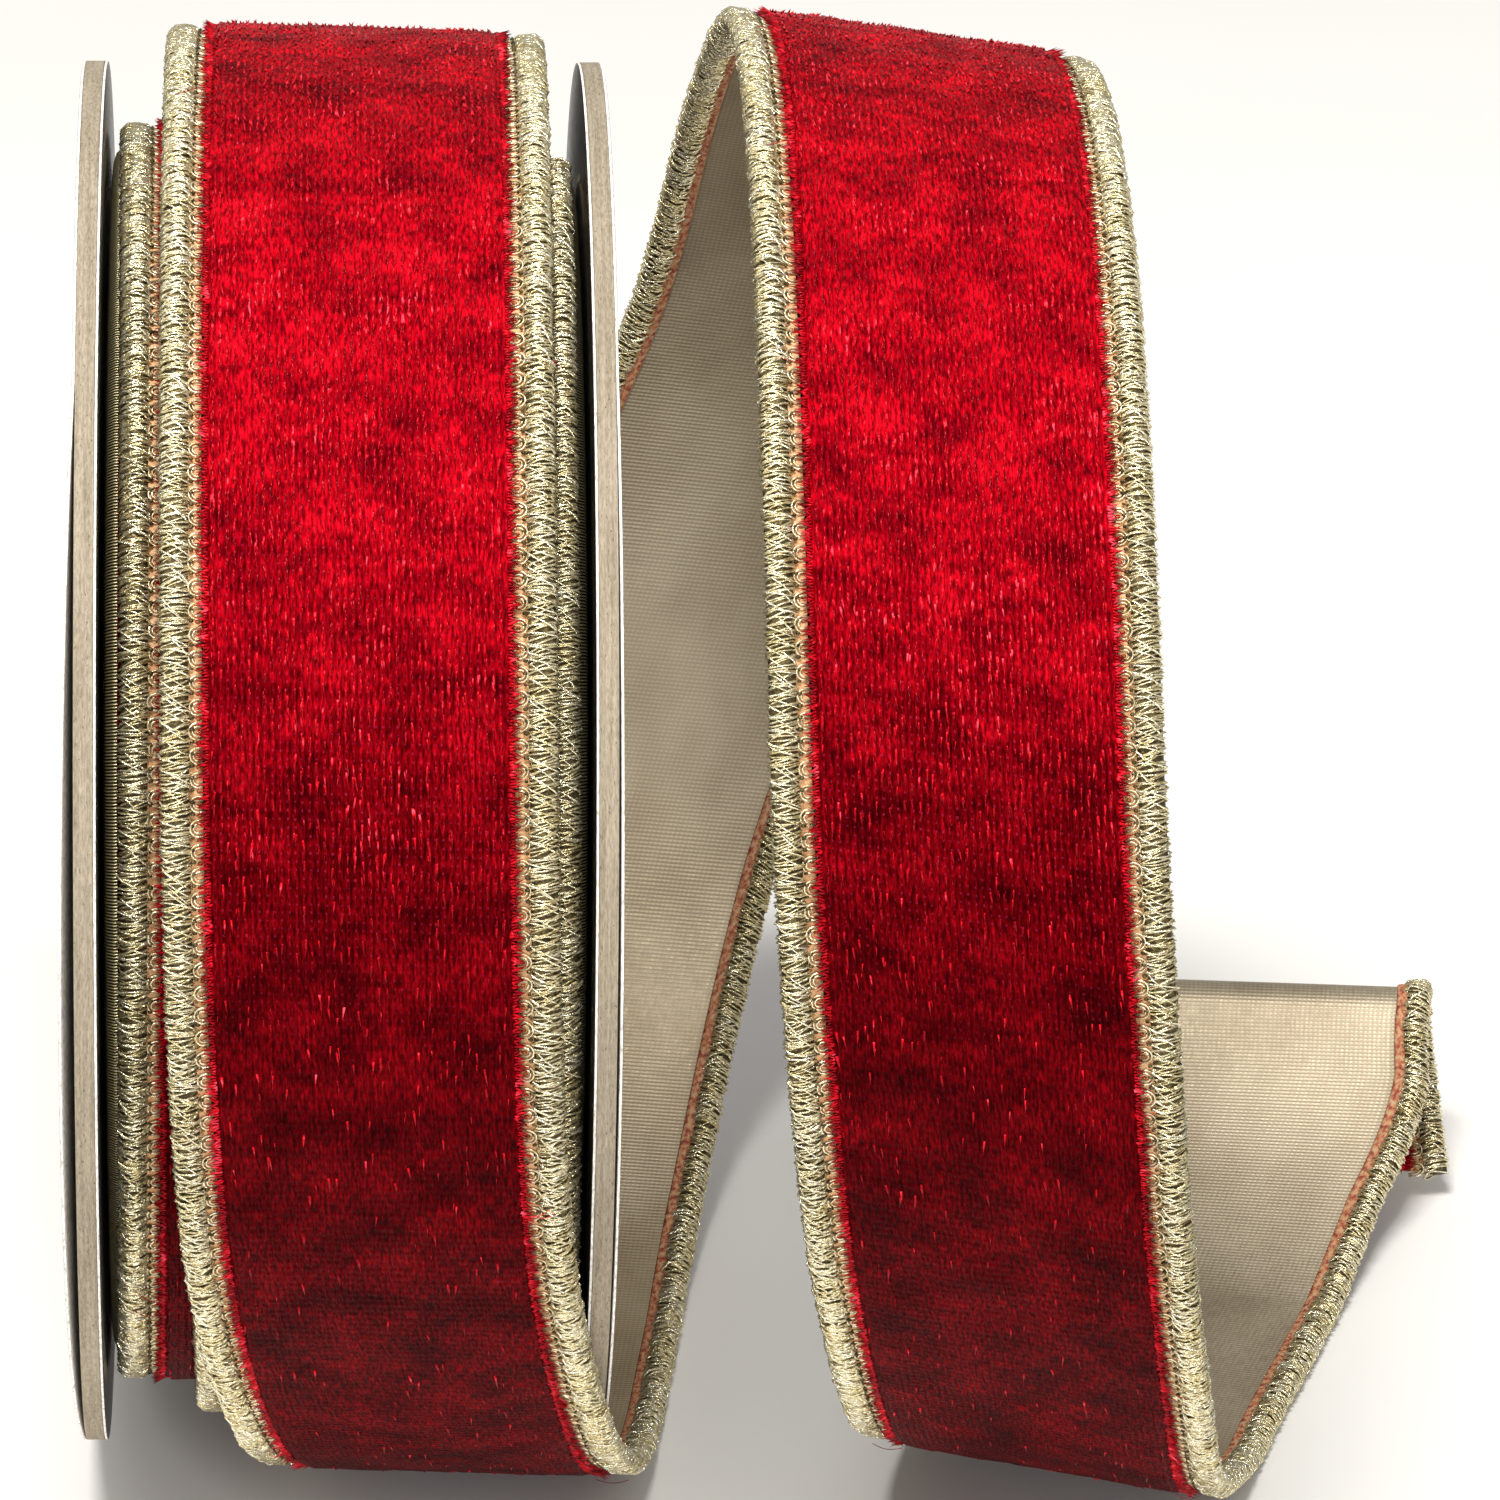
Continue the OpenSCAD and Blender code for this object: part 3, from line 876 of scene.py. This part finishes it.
def lock_thing(name, length, width, lift, aside=0.0):
    """A lock of pile: three-sided, closed, and nearly flat along Y, or along X where aside is 1 or -1."""
    way = np.array([aside, 1.0 - abs(aside), 0.0])
    side = np.array([way[1], -way[0], 0])
    base = -0.25 * length * way
    points = [base - side * width / 2 + (0, 0, -0.12), base + side * width / 2 + (0, 0, -0.12),
              base * 0.2 + (0, 0, lift * 0.9), 0.75 * length * way + (0, 0, lift)]
    faces = [(0, 1, 3), (1, 2, 3), (2, 0, 3), (0, 2, 1)]
    thing = new_piece(name, points, faces)
    face_out(thing)
    return thing


wrap = wrap_thing("wrap", CORD_HALF, edge_r, 0.15, 0.26)
wrap_over = wrap_thing("wrap_over", CORD_HALF + 0.05, edge_r + 0.06, 0.12, -0.34)
stitch_left, stitch_right = stitch_thing("stitch_left", -1), stitch_thing("stitch_right", 1)
hole = hole_thing("hole", 0.26, 0.20, 0.06)
pit = hole_thing("pit", 0.26, 0.20, 0.30)
lock = lock_thing("lock", 1.4, 0.27, 0.15)
fringe_left = lock_thing("fringe_left", 1.3, 0.34, 0.10, 1.0)
fringe_right = lock_thing("fringe_right", 1.3, 0.34, 0.10, -1.0)
THINGS = [wrap, wrap_over, stitch_left, stitch_right, hole, pit, lock, fringe_left, fringe_right]
print("small things", [thing.name for thing in THINGS])

# %% [markdown]
# ## One stretch of ribbon
# The loose ribbon and the outermost wound turn are the same product, so one function makes both. It
# builds the velvet face, the metallic backing, and on each edge the cord, the tape and the stitches.

# %% Outlines across the ribbon
PILE_TOP = pile_h - 0.45  # the locks of fibre stand on this
LOCKS_PER_MM2 = 2.4
LOCK_SPAN = 0.26  # mm of each rib that carries locks


def velvet_outline():
    """Round shoulders: the pile leans out over the edge of its ground cloth."""
    half = [(velvet_s - 0.25, 0.12), (velvet_s - 0.2, 0.5), (velvet_s - 0.35, 0.95), (velvet_s - 0.7, 1.25)]
    top = [(s, PILE_TOP) for s in np.linspace(velvet_s - 1.3, -velvet_s + 1.3, 34)]
    other = [(-s, n) for s, n in reversed(half)]
    under = [(s, 0.0) for s in np.linspace(-velvet_s, velvet_s, 8)]
    return half + top + other + under


def crushed(s, along, n):
    """How far crushing has moved the pile at a place on the cloth."""
    if n < 0.2:
        return 0.0
    broad = noise.noise(Vector((s / 4.5, along / 6.0, 3.7)))
    small = noise.noise(Vector((s / 1.1, along / 2.4, 9.1)))
    return (0.20 * broad + 0.11 * small) * min(1.0, n / 1.2)


def flat_outline(s0, s1, n0, n1, count):
    """A thin strip with enough points across it to stay smooth."""
    upper = [(s, n1) for s in np.linspace(s0, s1, count)]
    lower = [(s, n0) for s in np.linspace(s1, s0, count)]
    return upper + lower


def cord_outline(s, n, r, sides, wide=0.0):
    turns = [2 * math.pi * j / sides for j in range(sides)]
    return [(s + (r + wide) * math.cos(a), n + r * math.sin(a)) for a in turns]


print("velvet outline has", len(velvet_outline()), "points")

# %% [markdown]
# The cords in the gap beside the flange are seen only edge on, so one ring each is enough there. Their
# wrapped thread is a slanting stripe with a bump, with painted shade between the stripes.

# %% Cord seen from the side
def wrapped_material():
    material, tree, shader = new_material("wrapped gold cord", "A8986A", 0.34, 0.85)
    slanted = add(tree, "ShaderNodeMapping", None, {"Vector": cloth_place(tree, 1.4, WRAP_PITCH)})
    slanted.inputs["Rotation"].default_value = (0, 0, math.radians(18))
    threads = stripes(tree, slanted.outputs["Vector"], "Y")
    tone = grain(tree, cloth_place(tree, 0.5, 0.34), 2.0, 0.7)
    both = sums(tree, "MULTIPLY", threads, sums(tree, "MULTIPLY_ADD", tone, 0.8))
    # dark between the slanting threads: painted shade in the gaps between wraps
    paint(tree, shader, "Base Color", ramp(tree, both, [(0.15, "3A3018"), (0.45, "9A8654"), (0.8, "E6D9AC")]))
    bumped(tree, shader, threads, 0.18, 0.9)
    return material


wrapped_cord = wrapped_material()
print("material", wrapped_cord.name)


# %% The parts of a ribbon
TOP_LIGHT_RISE = 56  # degrees from level to where the painted top light is brightest
FADE_ABOVE, FADE_BELOW = 60.0, 33.0  # degrees from there in which the painted top light falls off


def nap_of(outward):
    """Painted top light: from 0 where the cloth faces down and is painted dark, to 1 on the upper
    shoulders of each turn, where it faces the light above and is painted bright."""
    rise = math.degrees(math.asin(max(-1.0, min(1.0, outward[2]))))
    fade = FADE_ABOVE if rise > TOP_LIGHT_RISE else FADE_BELOW
    return math.exp(-((rise - TOP_LIGHT_RISE) / fade) ** 2)


def velvet_strip(name, frames, closed):
    outline = velvet_outline()
    piece = swept(name, frames, outline, velvet, closed, crushed)
    # painted top light of each frame, by how far it faces up: painted light and shade for the velvet's colour
    painted_top_light = np.repeat([nap_of(outward) for _, _, outward, _ in frames], len(outline))
    layer = piece.data.attributes.new("painted_top_light", "FLOAT", "POINT")
    layer.data.foreach_set("value", painted_top_light.astype(np.float32))
    print(f"{name}: {len(piece.data.polygons)} faces")
    return piece


def pile_locks(name, frames, closed, seed):
    """Locks of fibre along the ribs of the cloth. More of them stand where the painted top light is strong.
    """
    ribs = [RIB_MM * (k + 0.25) for k in range(-20, 20)]
    spots = [s + side * LOCK_SPAN / 2 for s in ribs for side in (-1, 1)]
    length = along_mm(frames)
    points, outs, ways, shares = [], [], [], []
    for i, (middle, across, outward, along) in enumerate(frames):
        cover = 0.03 + 1.15 * nap_of(outward)
        for s in spots:
            points.append(middle + s * across + (PILE_TOP + crushed(s, length[i], PILE_TOP)) * outward)
            outs.append(outward)
            ways.append(along)
            shares.append(cover * (0.7 + 0.9 * noise.noise(Vector((s / 3.0, length[i] / 3.0, 1.3)))))
    count, rows = len(spots), len(frames)
    faces = []
    for i in range(rows if closed else rows - 1):
        k = (i + 1) % rows
        faces += [(i * count + j, i * count + j + 1, k * count + j + 1, k * count + j)
                  for j in range(0, count, 2)]
    base = new_piece(name + "_base", points, faces)
    give_vector(base.data, "out", outs)
    give_vector(base.data, "along", ways)
    share = base.data.attributes.new("share", "FLOAT", "POINT")
    share.data.foreach_set("value", np.array(shares, np.float32))
    return repeated(name, base, FACE_TREE, FACE_INPUTS,
                    {"Thing": lock, "Material": fibre, "Wobble": 0.17, "Spread": 0.5, "Seed": seed,
                     "Density": LOCKS_PER_MM2 * RIB_MM / LOCK_SPAN / MM**2})


def fringe(name, frames, side, closed, seed):
    """Fibres that lean out over the side of the velvet."""
    thing = fringe_left if side < 0 else fringe_right
    rows = [along_line(name + str(k), frames, side * (velvet_s - 0.4), n, thing, fibre, pitch, 0.5, 0.45,
                       seed + k, closed) for k, (n, pitch) in enumerate([(0.75, 0.34), (1.25, 0.30)])]
    return merged(name, rows)


def merged(name, pieces):
    """One piece from several, with their materials, and their cloth coordinates where they have them."""
    points, faces, uv, slots, materials = [], [], [], [], []
    for piece in pieces:
        mesh, start = piece.data, len(points)
        points += [tuple(c / MM for c in vertex.co) for vertex in mesh.vertices]
        for material in mesh.materials:
            if material not in materials:
                materials.append(material)
        for polygon in mesh.polygons:
            faces.append([start + v for v in polygon.vertices])
            slots.append(materials.index(mesh.materials[polygon.material_index]))
        if mesh.uv_layers:
            place_of = {}
            for corner, spot in zip(mesh.loops, mesh.uv_layers[0].data):
                place_of[corner.vertex_index] = tuple(spot.uv)
            uv += [place_of[k] for k in range(len(mesh.vertices))]
        bpy.data.objects.remove(piece)
    return new_piece(name, points, faces, uv or None, materials, slots)


def backing_strip(name, frames, closed):
    return swept(name, frames, flat_outline(-backing_s, backing_s, -backing_t - 0.02, -0.03, 14),
                 metallic_weave, closed)


def edge_cord(name, frames, side, closed, seed):
    """The binding under the thread, near black as painted shade between the wraps, and the thread wound round
    it.
    """
    outline = cord_outline(side * CORD_MIDDLE, 0, edge_r - 0.28, 12, CORD_HALF - edge_r)
    core = swept(name + "_core", frames, outline, shaded_cord_core, closed)
    wraps = along_line(name + "_wraps", frames, side * CORD_MIDDLE, 0, wrap, gold_thread, WRAP_PITCH,
                       0.24, 0.06, seed, closed)
    over = along_line(name + "_over", frames, side * CORD_MIDDLE, 0, wrap_over, bright_thread, OVER_PITCH,
                      0.42, 0.05, seed + 50, closed)
    return core, wraps, over


def edge_tape(name, frames, side, closed):
    middle = side * (velvet_s + cord_s) / 2
    return swept(name, frames, flat_outline(middle - 1.6, middle + 1.45, 0.02, 0.34, 6), cotton_tape, closed)


def edge_stitches(name, frames, side, closed, seed):
    thing = stitch_right if side < 0 else stitch_left
    row = along_line(name + "_loops", frames, side * (velvet_s + 0.42), 0.44, thing, pale_thread,
                     STITCH_PITCH, 0.10, 0.08, seed, closed)
    # needle holes in the tape: buttons of seam thread, darker than the tape, the seam thread itself with
    # painted shade in each hole
    dots = along_line(name + "_holes", frames, side * (velvet_s + 0.38), 0.40, hole, seam_thread,
                      STITCH_PITCH, 0.05, 0.10, seed + 1, closed)
    # shaded pits: near-black buttons at the cord's edge, painted shade in the needle holes there
    shaded_pits = along_line(name + "_pits", frames, side * (CORD_MIDDLE - 0.93 * CORD_HALF), 0.52 * edge_r, pit,
                      shaded_cord_core, STITCH_PITCH / 2, 0.3, 0.25, seed + 2, closed)
    return merged(name, [row, dots, shaded_pits])


SEAM_N = -backing_t - 0.05  # just under the backing


def seam_links(s, along, n):
    """The chain is lumpy: two links for each looped stitch."""
    return -0.14 * abs(math.sin(2 * math.pi * along / STITCH_PITCH)) if n < SEAM_N else 0.0


def seam(name, frames, side):
    """The chain of orange thread on the back, just inside the cord."""
    outline = cord_outline(side * (cord_s - 1.9), SEAM_N, 0.16, 10, 0.55)
    return swept(name, frames, outline, seam_chain, False, seam_links)


SIDES = ((-1, "left"), (1, "right"))


def ribbon_pieces(name, frames, closed, seeds):
    """Every piece of a stretch of ribbon. A closed one lies flat on the turns below it, so its seam is
    hidden and left out."""
    pieces = {"velvet": velvet_strip(f"{name}_velvet", frames, closed),
              "pile": pile_locks(f"{name}_pile", frames, closed, seeds["pile"]),
              "backing": backing_strip(f"{name}_backing", frames, closed)}
    for side, word in SIDES:
        edge = f"{name}_{word}"
        core, wraps, over = edge_cord(edge + "_cord", frames, side, closed, seeds["cord"] + side)
        pieces[word + "_core"], pieces[word + "_wraps"], pieces[word + "_over"] = core, wraps, over
        pieces[word + "_tape"] = edge_tape(edge + "_tape", frames, side, closed)
        pieces[word + "_stitches"] = edge_stitches(edge + "_stitches", frames, side, closed,
                                                   seeds["stitches"] + side)
        if not closed:
            pieces[word + "_seam"] = seam(edge + "_seam", frames, side)
        pieces[word + "_fringe"] = fringe(edge + "_fringe", frames, side, closed, seeds["fringe"] + side)
    return pieces


print("ribbon parts ready")

# %% [markdown]
# ## The loose ribbon
# It starts hidden on the wound turns and leaves them underneath. It rises behind the spool, comes over
# the flange rims and down the front, and crosses underneath to the right. There it makes one more turn
# beside the spool, and its end is folded back as a flap.

# %% Loose ribbon
loose = ribbon_pieces("ribbon", RIBBON, False, {"pile": 5, "cord": 3, "stitches": 14, "fringe": 30})
print("loose ribbon pieces", len(loose))

# %% [markdown]
# ## The outermost wound turn
# The same product again, as a closed ring on the spool. The ring closes at the back.

# %% Outermost turn
TURN = turn_frames(outer_turn_r, outer_turn_x, wander=1.7)
turn = ribbon_pieces("turn", TURN, True, {"pile": 6, "cord": 23, "stitches": 17, "fringe": 40})
print("outermost turn pieces", len(turn))

# %% Stray fibres
def strays(name, frames, count, seed):
    """A few long fibres of the pile that lie across the cord and the tape."""
    rng = np.random.default_rng(seed)
    parts = []
    for _ in range(count):
        middle, across, outward, along = frames[int(rng.integers(5, len(frames) - 5))]
        side = 1 if rng.random() < 0.5 else -1
        start = middle + side * (velvet_s + rng.uniform(-1.0, 0.4)) * across + (pile_h - 0.1) * outward
        length, lean = rng.uniform(2.5, 6.5), rng.uniform(-0.9, 0.9)
        path = []
        for t in np.linspace(0, 1, 7):
            reach = side * length * t * 0.6
            path.append(start + reach * across + length * t * lean * along
                        + 0.5 * math.sin(3 * t + lean) * t * along + 0.35 * math.sin(math.pi * t) * outward)
        parts.append(tube(path, 0.045, 3))
    return new_piece(name, *joined(parts), None, [fibre])


loose["strays"] = strays("ribbon_strays", RIBBON, 46, 12)
turn["strays"] = strays("turn_strays", TURN, 14, 13)
print("stray fibres placed")

# %% [markdown]
# ## The turns under it
# Each turn sits a little to one side of the last, as hand-wound ribbon does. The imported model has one
# solid for them all, whose sideways steps are other ones.

# %% Wound turns
wound_r = outer_turn_r - edge_r - 0.05
count = round((wound_r - core_r - 1.0) / turn_t)
first_r = wound_r - count * turn_t

SIDE_STEPS = (-4.3, 4.2, 0.1)  # mm along the axle, repeated from turn to turn
DRIFT = 0.2  # mm that a hand-wound turn strays from its step


def stagger(i):
    """Cords are twice as thick as a turn, so those of three neighbouring turns lie side by side."""
    return SIDE_STEPS[i % 3] + DRIFT * math.sin(math.radians(137 * i))


band_low, band_high = 0.05, turn_t - 0.05
band_outline = [(-cord_s, band_low), (cord_s, band_low), (cord_s, band_high), (-cord_s, band_high)]
bands, left_rings, right_rings = [], [], []
for i in range(count):
    low = first_r + i * turn_t
    sunk = max(turn_t / 2 - 0.6, core_r + edge_r + 0.1 - low)
    path = turn_frames(low, stagger(i), 3.0)
    bands.append(swept(f"band{i}", path, band_outline, velvet, True))
    for side, rings in ((-1, left_rings), (1, right_rings)):
        outline = cord_outline(side * cord_s, sunk, edge_r, 10)
        rings.append(swept(f"ring{i}", path, outline, wrapped_cord, True))

wound_velvet = merged("wound_velvet", bands)
wound_left = merged("wound_left_cords", left_rings)
wound_right = merged("wound_right_cords", right_rings)
print(f"{count} wound turns from {first_r:.1f} to {wound_r:.1f} mm")

# %% [markdown]
# ## Flanges
# Each flange is a disc of chipboard with black paper glued on both faces. The cut edge shows the grey
# board between two white lines, because the paper is black only on its face. The rim is knife cut and
# handled, so it isn't quite true, and the left outer paper has come away a little at the front.

# %% Flanges
LIFT_FROM = 0.55  # cosine of the turn from the front within which paper comes away
LIFT_DEPTH = 22.0  # mm in from the rim


def disc(name, x0, x1, side_out, materials, lift=0.0, trim=0.0):
    """A ring about the axle from x0 to x1. The face towards side_out takes the first material."""
    around = 288
    radii = [arbor_r, 20, 35, 50, flange_r - 20, flange_r - 12, flange_r - 6, flange_r - 2.5,
             flange_r - 1, flange_r - trim - 0.12, flange_r - trim]
    points, faces, chosen = [], [], []
    for k in range(around):
        a = 2 * math.pi * k / around
        front = max(0.0, math.cos(a) - LIFT_FROM) / (1 - LIFT_FROM)
        wave = 0.10 * noise.noise(Vector((3 * math.cos(a), 3 * math.sin(a), x0)))
        rough = 0.06 * noise.noise(Vector((40 * math.cos(a), 40 * math.sin(a), x1)))
        for face, x in enumerate((x0, x1)):
            for j, r in enumerate(radii):
                edge = max(0.0, 1 - (flange_r - r) / LIFT_DEPTH)
                away = side_out * lift * front * edge**2
                here_r = r + (wave + rough - 0.1) * (j >= len(radii) - 2)
                worn = 0.04 * (face * 2 - 1) * (j == len(radii) - 1)
                points.append((x + away - worn, -here_r * math.cos(a), here_r * math.sin(a)))
    n = len(radii)
    for k in range(around):
        m = (k + 1) % around
        for face in (0, 1):
            outer = (side_out > 0) == (face == 1)
            for j in range(n - 1):
                q = (k * 2 * n + face * n + j, k * 2 * n + face * n + j + 1,
                     m * 2 * n + face * n + j + 1, m * 2 * n + face * n + j)
                faces.append(q if face else q[::-1])
                chosen.append(0 if outer or len(materials) == 1 else 1)
        for j in (0, n - 1):
            q = (k * 2 * n + j, k * 2 * n + n + j, m * 2 * n + n + j, m * 2 * n + j)
            faces.append(q if j == 0 else q[::-1])
            chosen.append(len(materials) - 1)
    piece = new_piece(name, points, faces, None, materials, chosen)
    face_out(piece)
    piece.data.set_sharp_from_angle(angle=math.radians(40))
    return piece


flange = {}
for side, word in SIDES:
    near, far = side * (inner_x + paper_t), side * (outer_x - paper_t)
    flange[word + "_board"] = disc(f"{word}_board", *sorted((near, far)), side, [chipboard])
    flange[word + "_inner"] = disc(f"{word}_inner_paper", *sorted((side * inner_x, near)), -side,
                                   [black_paper, paper_edge], trim=0.05)
    flange[word + "_outer"] = disc(f"{word}_outer_paper", *sorted((far, side * outer_x)), side,
                                   [black_paper, paper_edge], 1.2 if side < 0 else 0.25, 0.02)
print("flange pieces", len(flange))

# %% [markdown]
# ## Bodies
# Each new piece is tied to the body that carries it and keeps the finish it was made with; the
# imported solids that the new pieces stand for are hidden.

# %% Tie the pieces to the frame
for piece in loose.values():
    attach(piece, "loose_ribbon")
for piece in [*turn.values(), *flange.values(), wound_velvet, wound_left, wound_right]:
    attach(piece, "spool")

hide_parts("loose_velvet")
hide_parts("loose_backing")
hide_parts("outer_turn_velvet")
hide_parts("outer_turn_backing")
for word in ("left", "right"):
    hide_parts(f"loose_{word}_edge")
    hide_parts(f"loose_{word}_tape")
    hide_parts(f"loose_{word}_stitching")
    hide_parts(f"outer_turn_{word}_edge")
    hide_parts(f"outer_turn_{word}_tape")
    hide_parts(f"{word}_flange_board")
    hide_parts(f"{word}_flange_inner_paper")
    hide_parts(f"{word}_flange_outer_paper")
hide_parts("wound_turns")

print("pieces tied", len(loose) + len(turn) + len(flange) + 3)


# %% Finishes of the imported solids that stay
FINISHES = {"core_tube": kraft_tube, "left_glue_bead": dried_glue, "right_glue_bead": dried_glue,
            "start_tape": crepe_tape, "loose_left_wire": steel, "loose_right_wire": steel}
for node, material in FINISHES.items():
    solid = bpy.data.objects[node]
    for holder in solid.material_slots:
        holder.material = material
    if not solid.material_slots:
        solid.data.materials.append(material)
for thing in THINGS:
    bpy.data.objects.remove(thing)
print("kept solids finished")

# %% [markdown]
# ## Floor and light
# A plain pale floor and soft studio light. The main light is a broad panel above and in front, which
# makes the upper half of each turn bright and lets the lower half fall dark.

# %% Floor
floor_m, floor_tree, floor_shader = new_material("pale floor", "F4F2EE", 0.7)
soft = grain(floor_tree, here(floor_tree, 120.0), 2.0, 0.5)
paint(floor_tree, floor_shader, "Base Color", ramp(floor_tree, soft, [(0.3, "F1EFEB"), (0.7, "F6F4F1")]))
floor_half = 4000
floor_corners = [(x * floor_half, y * floor_half, floor_z) for x, y in ((-1, -1), (1, -1), (1, 1), (-1, 1))]
floor = new_piece("floor", floor_corners, [(0, 1, 2, 3)], None, [floor_m], smooth=False)
print("floor at", round(floor_z, 2), "mm")


# %% Lights
def panel(name, centre_mm, aim_mm, width_mm, height_mm, watts, tint="FFFFFF"):
    data = bpy.data.lights.new(name, "AREA")
    data.shape = "RECTANGLE"
    data.size, data.size_y = width_mm * MM, height_mm * MM
    data.energy = watts
    data.color = colour(tint)[:3]
    lamp = bpy.data.objects.new(name, data)
    bpy.context.scene.collection.objects.link(lamp)
    start, end = Vector(centre_mm) * MM, Vector(aim_mm) * MM
    turned = (end - start).to_track_quat("-Z", "Y").to_matrix()
    lamp.matrix_world = Matrix.Translation(start) @ turned.to_4x4()


panel("key", (-60, -290, 880), (40, 0, 10), 420, 200, 12.0, "FFFDF8")
panel("side", (-700, -330, 300), (0, 0, 0), 240, 240, 1.6)
panel("front", (80, -800, 50), (50, 0, 0), 170, 110, 1.9)
world = bpy.data.worlds.new("studio")
bpy.context.scene.world = world
world.use_nodes = True
world.node_tree.nodes["Background"].inputs["Color"].default_value = colour("FFFFFF")
world.node_tree.nodes["Background"].inputs["Strength"].default_value = 0.42
bpy.context.scene.view_settings.view_transform = "Standard"
